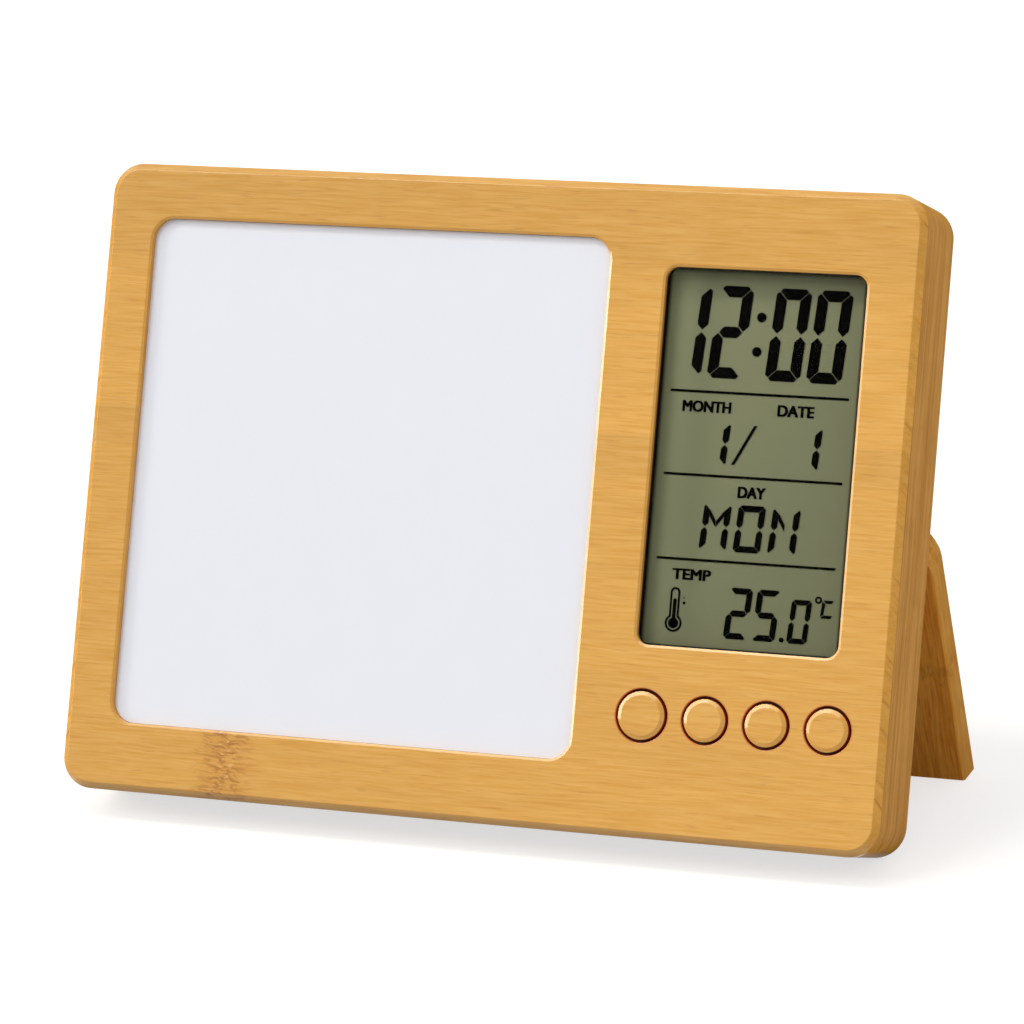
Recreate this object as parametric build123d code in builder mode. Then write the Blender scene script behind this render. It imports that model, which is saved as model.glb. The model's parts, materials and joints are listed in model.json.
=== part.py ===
from build123d import *
from math import cos, radians, sin, sqrt
import os

os.makedirs("parts", exist_ok=True)

# A desk clock in a leaning bamboo board: a white memo panel on the left, a liquid crystal display over
# four push buttons on the right, and a folding prop leg behind.
# Lengths are in millimetres and angles in degrees. A place on the board is given across (x, from its
# middle), up the face (y, from its lower edge) and by its depth behind the face.

# Board of three glued plies
board_width = 190.0
board_height = 141.0
board_depth = 23.6
board_corner_radius = 7.0
front_bevel = 1.5
bevel_softening = 0.35
back_edge_radius = 1.0
lean_angle = 20.4
front_ply_depth = 6.7
middle_ply_depth = 7.1
overrun = 3.0

# Memo panel and its recess
panel_left_margin = 11.25
panel_bottom_margin = 15.3
panel_top_margin = 12.2
centre_stile_width = 13.0
panel_corner_radius = 5.0
panel_recess = 1.5
panel_thickness = 1.5
panel_clearance = 0.05
window_bevel = 0.55
rim_slope = 25.0
tape_count = 3
tape_width = 14.0
tape_thickness = 0.3
tape_end_margin = 6.0

# Display window and the stack behind it
display_window_width = 45.1
display_right_margin = 11.95
display_top_margin = 17.8
display_button_gap = 1.53
display_corner_radius = 2.8
front_wall = 2.8
lens_overlap = 2.0
lens_thickness = 1.0
film_gap = 0.03
polariser_thickness = 0.2
glass_thickness = 0.7
segment_thickness = 0.1
reflector_thickness = 0.25
contact_ledge = 2.6

# Figures on the display, as shares of the display window and of each digit
lean_share = 0.069
stroke_share = 0.12
corner_share = 0.065
segment_gap_share = 0.0065
middle_gap_share = 0.014
time_bottom_share = 0.7161
time_height_share = 0.2452
time_digit_width_share = 0.174
time_left_shares = [("1", 0.0059), ("2", 0.2101), ("0", 0.4994), ("0", 0.7041)]
colon_shares = [(0.4618, 0.8819), (0.4509, 0.7905)]
colon_radius_share = 0.0232
rule_height_shares = [0.6784, 0.4575, 0.2337]
rule_left_share = 0.0366
rule_length_share = 0.8871
rule_thickness_share = 0.0066
date_bottom_share = 0.4858
date_height_share = 0.1132
date_digit_width_share = 0.1108
date_left_shares = [0.2289, 0.6843]
date_stroke_share = 0.158
slash_ends_shares = [(0.3768, 0.4898), (0.4757, 0.595)]
slash_thickness_share = 0.0155
day_bottom_share = 0.261
day_height_share = 0.1241
day_digit_width_share = 0.1355
day_left_shares = [("M", 0.2398), ("0", 0.4104), ("N", 0.5825)]
day_stroke_share = 0.136
temperature_bottom_share = 0.0327
temperature_height_share = 0.135
temperature_digit_width_share = 0.1162
temperature_left_shares = [("2", 0.3975), ("5", 0.537)]
tenths_left_share = 0.712
tenths_height_share = 0.1151
tenths_width_share = 0.0989
point_shares = (0.6878, 0.0401)
point_radius_share = 0.0117

# Display holder and circuit board
holder_clearance = 0.2
holder_wall = 2.6
holder_ledge_width = 2.0
holder_ledge_depth = 2.5
pocket_clearance = 0.3
pocket_side_gap = 1.2
pocket_corner_radius = 3.0
circuit_board_thickness = 1.2
contact_strip_thickness = 2.0
spacer_radius = 2.0
spacer_gap = 0.43
spacer_edge_margin = 2.0
spacer_spacing = 40.0
module_screw_radius = 0.7
module_screw_head_radius = 1.4
module_screw_head_height = 0.9
module_screw_length = 5.0
module_screw_inset = 4.5
screw_clearance = 0.05

# Components on the back of the circuit board, placed as shares of the way from its foot to the battery box
chip_radius = 4.5
chip_height = 1.4
chip_rounding = 0.9
chip_place_share = 0.796
crystal_radius = 1.0
crystal_length = 6.0
crystal_place_share = 0.648
component_offset = 12.0
buzzer_radius = 6.0
buzzer_height = 4.0
buzzer_place_share = 0.426
buzzer_gap = 0.2
buzzer_port_radius = 1.2
buzzer_port_depth = 1.5
sensor_radius = 1.3
sensor_height = 2.2
sensor_place_share = 0.228
sound_hole_count = 3
sound_hole_radius = 0.9
sound_hole_circle_radius = 2.6

# Buttons, the first larger than the other three
button_row_height = 26.25
button_row_shift = 0.61
button_hole_spacing = 3.2
cap_radii = [5.2, 4.6, 4.6, 4.6]
cap_gap = 0.62
cap_proud = 0.62
cap_bevel = 0.85
cap_softening = 0.3
button_hole_edge_radius = 0.25
button_travel = 0.5
flange_overlap = 0.5
flange_gap = 0.1
flange_thickness = 1.0
boss_radius = 2.4
boss_height = 0.4
actuator_radius = 1.7
actuator_engagement = 1.4
actuator_clearance = 0.05
actuator_floor_gap = 0.2
switch_side = 6.0
switch_height = 3.3

# Battery box, two cells and the door
cell_radius = 5.25
cell_length = 44.5
cell_button_radius = 1.9
cell_button_height = 0.8
cell_rim_radius = 0.5
cell_clearance = 0.3
box_wall = 1.2
box_floor = 0.9
box_floor_gap = 0.2
box_side_clearance = 0.3
box_top_gap = 5.9
box_flange_margin = 4.5
box_flange_thickness = 1.2
box_flange_corner_radius = 2.0
door_clearance = 0.3
door_thickness = 1.6
door_pin_radius = 0.6
door_pin_length = 0.9
door_pin_clearance = 0.05
door_tab_width = 12.0
door_tab_reach = 1.6
door_tab_thickness = 0.9
door_rib_count = 5
door_rib_width = 0.8
door_rib_length = 9.0
door_rib_height = 0.3
door_rib_pitch = 2.2
contact_thickness = 0.4
contact_width = 8.0
contact_span = 9.0
contact_tail_width = 2.0
contact_slot_clearance = 0.2
box_screw_radius = 0.8
box_screw_head_radius = 1.7
box_screw_head_height = 0.9
screw_bite_share = 0.6
screw_tip_gap = 1.0

# Prop leg and its hinges
leg_side_inset = 0.5
leg_thickness = 8.0
leg_open_angle = 43.5
leg_fold_gap = 0.4
leg_stop_gap = 0.05
leg_stop_length = 1.6
leg_nose_share = 0.05
leg_corner_radius = 14.0
leg_edge_radius = 0.6
hinge_margin = 23.0
bracket_width = 12.0
bracket_box_gap = 2.3
bracket_strip_thickness = 1.4
bracket_strip_length = 18.0
bracket_side_clearance = 0.4
bracket_notch_clearance = 1.0
hinge_pin_radius = 1.25
hinge_pin_bite = 9.0
hinge_pin_clearance = 0.05
hinge_pin_seat_clearance = 0.02
bracket_screw_shares = [0.478, 0.789]
bracket_screw_radius = 1.0
bracket_screw_head_radius = 2.1
bracket_screw_head_height = 1.2

# Directions: up the face and into the board, from the lean of the board
lean = radians(lean_angle)
opening = radians(leg_open_angle)
splay = opening - lean
up = Vector(0, sin(lean), cos(lean))
inward = Vector(0, cos(lean), -sin(lean))
across = Vector(1, 0, 0)
leg_outward = Vector(0, cos(splay), sin(splay))

# Depths of the layers behind the face
middle_depth = front_ply_depth
back_depth = front_ply_depth + middle_ply_depth
back_ply_depth = board_depth - back_depth
panel_depth = panel_recess + panel_thickness + tape_thickness
polariser_depth = front_wall + lens_thickness + film_gap
front_glass_depth = polariser_depth + polariser_thickness + film_gap
segment_depth = front_glass_depth + glass_thickness
rear_glass_depth = segment_depth + segment_thickness + film_gap
reflector_depth = rear_glass_depth + glass_thickness + film_gap
display_back = reflector_depth + reflector_thickness
circuit_depth = display_back + holder_ledge_depth
circuit_back = circuit_depth + circuit_board_thickness
buzzer_back = circuit_back + buzzer_height
box_depth = circuit_back + box_floor_gap
cell_depth = box_depth + box_floor + cell_clearance + cell_radius
cell_back = cell_depth + cell_radius + cell_clearance
box_back = max(board_depth + box_flange_thickness, cell_back + door_thickness)
bracket_back = board_depth + bracket_strip_thickness
screw_bite = screw_bite_share * back_ply_depth
pilot_depth = screw_bite + screw_tip_gap

# Button holes, and the flange behind each that keeps its button in
hole_radii = [radius + cap_gap for radius in cap_radii]
flange_radii = [radius + flange_overlap for radius in hole_radii]
row_width = 2 * sum(hole_radii) + button_hole_spacing * (len(hole_radii) - 1)

# Windows: the display stands over the button row, and the panel takes the rest of the width
board_middle = board_height / 2
display_border = lens_overlap + contact_ledge + holder_clearance + holder_wall
display_bottom = button_row_height + max(flange_radii) + display_button_gap + display_border
display_window_height = board_height - display_top_margin - display_bottom
display_left = board_width / 2 - display_right_margin - display_window_width
display_x = display_left + display_window_width / 2
display_y = display_bottom + display_window_height / 2
panel_left = -board_width / 2 + panel_left_margin
panel_window_width = display_left - centre_stile_width - panel_left
panel_window_height = board_height - panel_top_margin - panel_bottom_margin
panel_x = panel_left + panel_window_width / 2
panel_y = panel_bottom_margin + panel_window_height / 2

# Display module in its pocket
glass_width = display_window_width + 2 * lens_overlap
rear_glass_height = display_window_height + 2 * lens_overlap
front_glass_height = rear_glass_height + 2 * contact_ledge
holder_inner_width = glass_width + 2 * holder_clearance
holder_inner_height = front_glass_height + 2 * holder_clearance
holder_width = holder_inner_width + 2 * holder_wall
holder_height = holder_inner_height + 2 * holder_wall
row_room = row_width + 2 * (button_row_shift + flange_overlap + pocket_clearance)
pocket_width = max(holder_width + 2 * pocket_side_gap, row_room)
spacer_height = button_row_height - max(flange_radii) - spacer_gap - spacer_radius
pocket_bottom = spacer_height - spacer_radius - spacer_edge_margin
pocket_top = display_y + holder_height / 2 + pocket_clearance
pocket_height = pocket_top - pocket_bottom
pocket_y = (pocket_top + pocket_bottom) / 2
circuit_width = pocket_width - 2 * pocket_clearance
circuit_height = pocket_height - 2 * pocket_clearance
holder_screw_x = (holder_width - holder_wall) / 2
holder_screw_y = holder_height / 2 - module_screw_inset
module_screw_places = [
    (display_x + side * holder_screw_x, display_y + end * holder_screw_y)
    for side in (-1, 1)
    for end in (-1, 1)
]
spacer_places = [(display_x + side * spacer_spacing / 2, spacer_height) for side in (-1, 1)]

button_x = []
hole_left = display_x + button_row_shift - row_width / 2
for hole_radius in hole_radii:
    button_x.append(hole_left + hole_radius)
    hole_left += 2 * hole_radius + button_hole_spacing

# Battery box, below the upper screws of the display module
box_inner_width = pocket_width - 2 * box_side_clearance - 2 * box_wall
box_inner_height = 4 * cell_radius + 3 * cell_clearance
box_width = box_inner_width + 2 * box_wall
box_height = box_inner_height + 2 * box_wall
box_top = display_y + holder_screw_y - module_screw_head_radius - box_top_gap
box_bottom = box_top - box_height
box_y = (box_top + box_bottom) / 2
box_inner_top = box_y + box_inner_height / 2
box_inner_bottom = box_y - box_inner_height / 2
cell_places = [box_y + side * (cell_radius + cell_clearance / 2) for side in (-1, 1)]
box_screw_x = box_width / 2 + box_flange_margin / 2
box_screw_y = box_height / 2 + box_flange_margin / 2
box_screw_places = [
    (display_x + side * box_screw_x, box_y + end * box_screw_y) for side in (-1, 1) for end in (-1, 1)
]
door_axis_y = box_inner_top - door_clearance - door_thickness / 2
door_axis_depth = box_back - door_thickness / 2
door_bottom = box_inner_bottom + door_clearance
door_width = box_inner_width - 2 * door_clearance


def component_y(place_share):
    """A height on the circuit board, as a share of the way from its foot to the battery box."""
    return pocket_bottom + place_share * (box_bottom - pocket_bottom)


# Hinges, whose strips end below the battery box. The pivot stands off the back so that the folded leg
# lies just clear of the board
hinge_offset = board_width / 2 - hinge_margin
leg_pivot_height = box_bottom - box_flange_margin - bracket_box_gap - bracket_strip_length
bracket_screw_places = [
    (side * hinge_offset, leg_pivot_height + share * bracket_strip_length)
    for side in (-1, 1)
    for share in bracket_screw_shares
]
pivot_stand_off = (leg_thickness + leg_fold_gap) / 2
leg_inner = pivot_stand_off - leg_fold_gap
leg_run_radius = pivot_stand_off - leg_stop_gap

# Where the board and the leg's foot touch the table, from the sharp lower back corner of the board
corner_drop = back_edge_radius * (cos(lean) + sin(lean) - 1)
pivot_forward = leg_pivot_height * sin(lean) + pivot_stand_off * cos(lean)
pivot_rise = leg_pivot_height * cos(lean) - pivot_stand_off * sin(lean) - corner_drop
foot_outer_run = (pivot_rise + pivot_stand_off * sin(splay)) / cos(splay)
foot_inner_run = (pivot_rise - leg_inner * sin(splay)) / cos(splay)
front_reach = front_bevel * sin(lean) - board_depth * cos(lean)
back_reach = pivot_forward + pivot_stand_off * cos(splay) + foot_outer_run * sin(splay)
lower_back_corner = Vector(0, -(front_reach + back_reach) / 2, -corner_drop)

face = Plane(origin=lower_back_corner - inward * board_depth, x_dir=across, z_dir=inward * -1)
forward = Axis(face.origin, face.z_dir)
pivot = lower_back_corner + up * leg_pivot_height + inward * pivot_stand_off


def at(depth):
    """The plane parallel to the board's face at a depth behind it."""
    return face.offset(-depth)


door_hinge = Plane(
    origin=at(door_axis_depth).from_local_coords((display_x, door_axis_y, 0)),
    x_dir=inward,
    z_dir=across,
)


def board_outline():
    """The board's rounded outline, drawn in the sketch that is open."""
    with Locations((0, board_middle)):
        RectangleRounded(board_width, board_height, board_corner_radius)


# Front ply: bevelled face, panel recess, display window, button holes, and the pocket behind them
with BuildPart() as front_ply:
    with BuildSketch(at(0)):
        board_outline()
    extrude(amount=-front_ply_depth)
    chamfer(front_ply.faces().sort_by(forward)[-1].edges(), length=front_bevel)
    bevel_edges = front_ply.edges().group_by(forward)
    fillet(bevel_edges[-1] + bevel_edges[-3], radius=bevel_softening)
    with BuildSketch(at(0)):
        with Locations((panel_x, panel_y)):
            RectangleRounded(panel_window_width, panel_window_height, panel_corner_radius)
    extrude(amount=-panel_depth, mode=Mode.SUBTRACT)
    with BuildSketch(at(0)):
        with Locations((display_x, display_y)):
            RectangleRounded(display_window_width, display_window_height, display_corner_radius)
    extrude(amount=-front_ply_depth, mode=Mode.SUBTRACT)
    outer_face = front_ply.faces().sort_by(forward)[-1]
    window_edges = [edge for wire in outer_face.inner_wires() for edge in wire.edges()]
    chamfer(window_edges, length=window_bevel, angle=rim_slope, reference=outer_face)
    with BuildSketch(at(front_wall)):
        with Locations((display_x, pocket_y)):
            RectangleRounded(pocket_width, pocket_height, pocket_corner_radius)
    extrude(amount=-(front_ply_depth - front_wall), mode=Mode.SUBTRACT)
    for centre, hole_radius in zip(button_x, hole_radii):
        with BuildSketch(at(0)):
            with Locations((centre, button_row_height)):
                Circle(hole_radius)
        extrude(amount=-front_wall, mode=Mode.SUBTRACT)
    hole_edges = front_ply.faces().sort_by(forward)[-1].edges().filter_by(GeomType.CIRCLE)
    fillet([edge for edge in hole_edges if edge.is_closed], radius=button_hole_edge_radius)
front_ply.part.label = "front_ply"
export_step(front_ply.part, "parts/front_ply.step")

# Middle ply: the module pocket goes right through it
with BuildPart() as middle_ply:
    with BuildSketch(at(middle_depth)):
        board_outline()
        with Locations((display_x, pocket_y)):
            RectangleRounded(pocket_width, pocket_height, pocket_corner_radius, mode=Mode.SUBTRACT)
    extrude(amount=-middle_ply_depth)
middle_ply.part.label = "middle_ply"
export_step(middle_ply.part, "parts/middle_ply.step")

# Back ply: battery opening, sound holes and the pilot holes of its screws
with BuildPart() as back_ply:
    with BuildSketch(at(back_depth)):
        board_outline()
    extrude(amount=-back_ply_depth)
    fillet(back_ply.faces().sort_by(forward)[0].edges(), radius=back_edge_radius)
    with BuildSketch(at(back_depth)):
        with Locations((display_x, box_y)):
            Rectangle(box_width + 2 * box_side_clearance, box_height + 2 * box_side_clearance)
        with Locations((display_x, component_y(buzzer_place_share))):
            with PolarLocations(sound_hole_circle_radius, sound_hole_count):
                Circle(sound_hole_radius)
    extrude(amount=-back_ply_depth, mode=Mode.SUBTRACT)
    with BuildSketch(at(buzzer_back + buzzer_gap)):
        with Locations((display_x, component_y(buzzer_place_share))):
            Circle(buzzer_radius + buzzer_gap)
    extrude(amount=buzzer_height + buzzer_gap, mode=Mode.SUBTRACT)
    with BuildSketch(at(board_depth)):
        with Locations(box_screw_places):
            Circle(box_screw_radius + screw_clearance)
    extrude(amount=pilot_depth, mode=Mode.SUBTRACT)
    with BuildSketch(at(board_depth)):
        with Locations(bracket_screw_places):
            Circle(bracket_screw_radius + screw_clearance)
    extrude(amount=pilot_depth, mode=Mode.SUBTRACT)
back_ply.part.label = "back_ply"
export_step(back_ply.part, "parts/back_ply.step")

# Memo panel and the adhesive strips under it
with BuildPart() as memo_panel:
    with BuildSketch(at(panel_recess)):
        with Locations((panel_x, panel_y)):
            RectangleRounded(
                panel_window_width - 2 * panel_clearance,
                panel_window_height - 2 * panel_clearance,
                panel_corner_radius - panel_clearance,
            )
    extrude(amount=-panel_thickness)
memo_panel.part.label = "memo_panel"
export_step(memo_panel.part, "parts/memo_panel.step")

with BuildPart() as panel_tape:
    with BuildSketch(at(panel_recess + panel_thickness)):
        with Locations((panel_x, panel_y)):
            with GridLocations(0, panel_window_height / tape_count, 1, tape_count):
                Rectangle(panel_window_width - 2 * tape_end_margin, tape_width)
    extrude(amount=-tape_thickness)
panel_tape.part.label = "panel_tape"
export_step(panel_tape.part, "parts/panel_tape.step")

# Display stack, from the lens back to the reflector
display_sheets = [
    ("display_lens", front_wall, lens_thickness, rear_glass_height),
    ("front_polariser", polariser_depth, polariser_thickness, rear_glass_height),
    ("lcd_front_glass", front_glass_depth, glass_thickness, front_glass_height),
    ("lcd_rear_glass", rear_glass_depth, glass_thickness, rear_glass_height),
    ("rear_reflector", reflector_depth, reflector_thickness, rear_glass_height),
]
for sheet_name, sheet_depth, sheet_thickness, sheet_height in display_sheets:
    with BuildPart() as sheet:
        with BuildSketch(at(sheet_depth)):
            with Locations((display_x, display_y)):
                Rectangle(glass_width, sheet_height)
        extrude(amount=-sheet_thickness)
    sheet.part.label = sheet_name
    export_step(sheet.part, f"parts/{sheet_name}.step")

# Which of the seven segments each figure lights, with h and j the two upper diagonals of a letter
lit_segments = {
    "0": "abcdef",
    "1": "bc",
    "2": "abdeg",
    "5": "acdfg",
    "M": "bcefhj",
    "N": "bcefh",
}


def draw_figure(figure, left, bottom, width, height, stroke):
    """Draws one leaning segmented figure in the sketch that is open."""
    half = stroke / 2
    gap = segment_gap_share * height
    middle_gap = middle_gap_share * height
    cut = corner_share * height
    middle = height / 2
    mitre = cut / 2

    def place(x, y):
        return (left + x + lean_share * y, bottom + y)

    def mirrored(points):
        return [(width - x, y) for x, y in points]

    def turned(points):
        return [(x, height - y) for x, y in points]

    top = [
        (cut, height),
        (width - cut, height),
        (width - mitre - gap, height - mitre),
        (width - stroke - gap, height - stroke),
        (stroke + gap, height - stroke),
        (mitre + gap, height - mitre),
    ]
    left_upright = [
        (0, height - cut),
        (mitre, height - mitre - gap),
        (stroke, height - stroke - gap),
        (stroke, middle + half + middle_gap),
        (half, middle + middle_gap),
        (0, middle + half + middle_gap),
    ]
    left_diagonal = [
        (stroke + gap, height - stroke),
        (stroke + gap, height - 2 * stroke),
        (width / 2 - gap, middle + gap),
        (width / 2 - gap, middle + stroke),
    ]
    shapes = {
        "a": top,
        "b": mirrored(left_upright),
        "c": turned(mirrored(left_upright)),
        "d": turned(top),
        "e": turned(left_upright),
        "f": left_upright,
        "g": [
            (half + gap, middle),
            (stroke, middle + half),
            (width - stroke, middle + half),
            (width - half - gap, middle),
            (width - stroke, middle - half),
            (stroke, middle - half),
        ],
        "h": left_diagonal,
        "j": mirrored(left_diagonal),
    }
    for segment in lit_segments[figure]:
        Polygon(*[place(x, y) for x, y in shapes[segment]], align=None)


def on_display(x_share, y_share):
    """A place on the display, from its shares of the window."""
    return (display_left + x_share * display_window_width, display_bottom + y_share * display_window_height)


def draw_row(figures, bottom_share, height_share, width_share, row_stroke_share):
    """Draws a row of figures that stand on one line."""
    height = height_share * display_window_height
    width = width_share * display_window_width
    for figure, left_share in figures:
        left, bottom = on_display(left_share, bottom_share)
        draw_figure(figure, left, bottom, width, height, row_stroke_share * height)


# Dark segments of the display: the time, the date, the day and the temperature
with BuildPart() as lcd_segments:
    with BuildSketch(at(segment_depth)):
        draw_row(
            time_left_shares,
            time_bottom_share,
            time_height_share,
            time_digit_width_share,
            stroke_share,
        )
        with Locations([on_display(*shares) for shares in colon_shares]):
            Circle(colon_radius_share * display_window_width)
        for height_share in rule_height_shares:
            with Locations(on_display(rule_left_share, height_share)):
                Rectangle(
                    rule_length_share * display_window_width,
                    rule_thickness_share * display_window_height,
                    align=(Align.MIN, Align.CENTER),
                )
        date_figures = [("1", left_share) for left_share in date_left_shares]
        draw_row(
            date_figures,
            date_bottom_share,
            date_height_share,
            date_digit_width_share,
            date_stroke_share,
        )
        slash_foot, slash_top = [on_display(*shares) for shares in slash_ends_shares]
        slash_half = slash_thickness_share * display_window_width / 2
        Polygon(
            (slash_foot[0] - slash_half, slash_foot[1]),
            (slash_foot[0] + slash_half, slash_foot[1]),
            (slash_top[0] + slash_half, slash_top[1]),
            (slash_top[0] - slash_half, slash_top[1]),
            align=None,
        )
        draw_row(
            day_left_shares,
            day_bottom_share,
            day_height_share,
            day_digit_width_share,
            day_stroke_share,
        )
        draw_row(
            temperature_left_shares,
            temperature_bottom_share,
            temperature_height_share,
            temperature_digit_width_share,
            stroke_share,
        )
        draw_row(
            [("0", tenths_left_share)],
            temperature_bottom_share,
            tenths_height_share,
            tenths_width_share,
            stroke_share,
        )
        with Locations(on_display(*point_shares)):
            Circle(point_radius_share * display_window_width)
    extrude(amount=-segment_thickness)
lcd_segments.part.label = "lcd_segments"
export_step(lcd_segments.part, "parts/lcd_segments.step")

# Display holder: a ring round the glass, with a ledge under each long side of the reflector
with BuildPart() as display_holder:
    with BuildSketch(at(front_wall)):
        with Locations((display_x, display_y)):
            RectangleRounded(holder_width, holder_height, pocket_corner_radius - pocket_clearance)
            Rectangle(holder_inner_width, holder_inner_height, mode=Mode.SUBTRACT)
    extrude(amount=-(circuit_depth - front_wall))
    with BuildSketch(at(display_back)):
        with Locations((display_x, display_y)):
            Rectangle(holder_inner_width, rear_glass_height)
            Rectangle(holder_inner_width - 2 * holder_ledge_width, rear_glass_height, mode=Mode.SUBTRACT)
    extrude(amount=-holder_ledge_depth)
    with BuildSketch(at(circuit_depth)):
        with Locations(module_screw_places):
            Circle(module_screw_radius + screw_clearance)
    extrude(amount=module_screw_length - circuit_board_thickness, mode=Mode.SUBTRACT)
display_holder.part.label = "display_holder"
export_step(display_holder.part, "parts/display_holder.step")

# Elastomer strips that carry the signals from the circuit board to the glass
with BuildPart() as contact_strips:
    with BuildSketch(at(segment_depth)):
        with Locations((display_x, display_y)):
            with GridLocations(0, rear_glass_height + contact_ledge, 1, 2):
                Rectangle(display_window_width, contact_strip_thickness)
    extrude(amount=-(circuit_depth - segment_depth))
contact_strips.part.label = "contact_strips"
export_step(contact_strips.part, "parts/contact_strips.step")

# Circuit board with its screw holes
with BuildPart() as circuit_board:
    with BuildSketch(at(circuit_depth)):
        with Locations((display_x, pocket_y)):
            RectangleRounded(circuit_width, circuit_height, pocket_corner_radius - pocket_clearance)
        with Locations(module_screw_places + spacer_places):
            Circle(module_screw_radius + screw_clearance, mode=Mode.SUBTRACT)
    extrude(amount=-circuit_board_thickness)
circuit_board.part.label = "circuit_board"
export_step(circuit_board.part, "parts/circuit_board.step")

with BuildPart() as spacer_posts:
    with BuildSketch(at(front_wall)):
        with Locations(spacer_places):
            Circle(spacer_radius)
    extrude(amount=-(circuit_depth - front_wall))
    with BuildSketch(at(circuit_depth)):
        with Locations(spacer_places):
            Circle(module_screw_radius + screw_clearance)
    extrude(amount=module_screw_length - circuit_board_thickness, mode=Mode.SUBTRACT)
spacer_posts.part.label = "spacer_posts"
export_step(spacer_posts.part, "parts/spacer_posts.step")

with BuildPart() as module_screws:
    with BuildSketch(at(circuit_back)):
        with Locations(module_screw_places + spacer_places):
            Circle(module_screw_radius)
    extrude(amount=module_screw_length)
    with BuildSketch(at(circuit_back)):
        with Locations(module_screw_places + spacer_places):
            Circle(module_screw_head_radius)
    extrude(amount=-module_screw_head_height)
module_screws.part.label = "module_screws"
export_step(module_screws.part, "parts/module_screws.step")

# Components on the back of the circuit board
with BuildPart() as clock_chip:
    with BuildSketch(at(circuit_back)):
        with Locations((display_x, component_y(chip_place_share))):
            Circle(chip_radius)
    extrude(amount=-chip_height)
    fillet(clock_chip.faces().sort_by(forward)[0].edges(), radius=chip_rounding)
clock_chip.part.label = "clock_chip"
export_step(clock_chip.part, "parts/clock_chip.step")

with BuildPart(at(circuit_back)) as crystal:
    with Locations((display_x + component_offset, component_y(crystal_place_share), -crystal_radius)):
        Cylinder(crystal_radius, crystal_length, rotation=(0, 90, 0))
crystal.part.label = "crystal"
export_step(crystal.part, "parts/crystal.step")

with BuildPart() as buzzer:
    with BuildSketch(at(circuit_back)):
        with Locations((display_x, component_y(buzzer_place_share))):
            Circle(buzzer_radius)
    extrude(amount=-buzzer_height)
    with BuildSketch(at(buzzer_back)):
        with Locations((display_x, component_y(buzzer_place_share))):
            Circle(buzzer_port_radius)
    extrude(amount=buzzer_port_depth, mode=Mode.SUBTRACT)
buzzer.part.label = "buzzer"
export_step(buzzer.part, "parts/buzzer.step")

with BuildPart() as temperature_sensor:
    with BuildSketch(at(circuit_back)):
        with Locations((display_x - component_offset, component_y(sensor_place_share))):
            Circle(sensor_radius)
    extrude(amount=-sensor_height)
    fillet(temperature_sensor.faces().sort_by(forward)[0].edges(), radius=sensor_radius / 2)
temperature_sensor.part.label = "temperature_sensor"
export_step(temperature_sensor.part, "parts/temperature_sensor.step")

# Push switches: four fixed bodies with a blind bore for the actuator
switch_depth = circuit_depth - switch_height
with BuildPart() as switch_bodies:
    with BuildSketch(at(switch_depth)):
        with Locations([(centre, button_row_height) for centre in button_x]):
            Rectangle(switch_side, switch_side)
    extrude(amount=-switch_height)
    with BuildSketch(at(switch_depth)):
        with Locations([(centre, button_row_height) for centre in button_x]):
            Circle(actuator_radius + actuator_clearance)
    extrude(amount=-(actuator_engagement + button_travel + actuator_floor_gap), mode=Mode.SUBTRACT)
switch_bodies.part.label = "switch_bodies"
export_step(switch_bodies.part, "parts/switch_bodies.step")

# Buttons: a bamboo cap on a flanged plunger that bears on the switch's actuator
flange_depth = front_wall + flange_gap
boss_depth = flange_depth + flange_thickness
actuator_depth = boss_depth + boss_height
button_sizes = zip(button_x, cap_radii, flange_radii)
for number, (centre, cap_radius, flange_radius) in enumerate(button_sizes, start=1):
    with BuildPart() as cap:
        with BuildSketch(at(-cap_proud)):
            with Locations((centre, button_row_height)):
                Circle(cap_radius)
        extrude(amount=-(cap_proud + flange_depth))
        cap_top = cap.faces().sort_by(forward)[-1]
        chamfer(cap_top.edges(), length=cap_bevel, angle=rim_slope, reference=cap_top)
        fillet(cap.faces().sort_by(forward)[-1].edges(), radius=cap_softening)
    cap.part.label = f"button_{number}_cap"
    export_step(cap.part, f"parts/button_{number}_cap.step")

    with BuildPart() as plunger:
        with BuildSketch(at(flange_depth)):
            with Locations((centre, button_row_height)):
                Circle(flange_radius)
        extrude(amount=-flange_thickness)
        with BuildSketch(at(boss_depth)):
            with Locations((centre, button_row_height)):
                Circle(boss_radius)
        extrude(amount=-boss_height)
    plunger.part.label = f"button_{number}_plunger"
    export_step(plunger.part, f"parts/button_{number}_plunger.step")

    with BuildPart() as actuator:
        with BuildSketch(at(actuator_depth)):
            with Locations((centre, button_row_height)):
                Circle(actuator_radius)
        extrude(amount=-(switch_depth + actuator_engagement - actuator_depth))
    actuator.part.label = f"switch_{number}_actuator"
    export_step(actuator.part, f"parts/switch_{number}_actuator.step")

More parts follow.
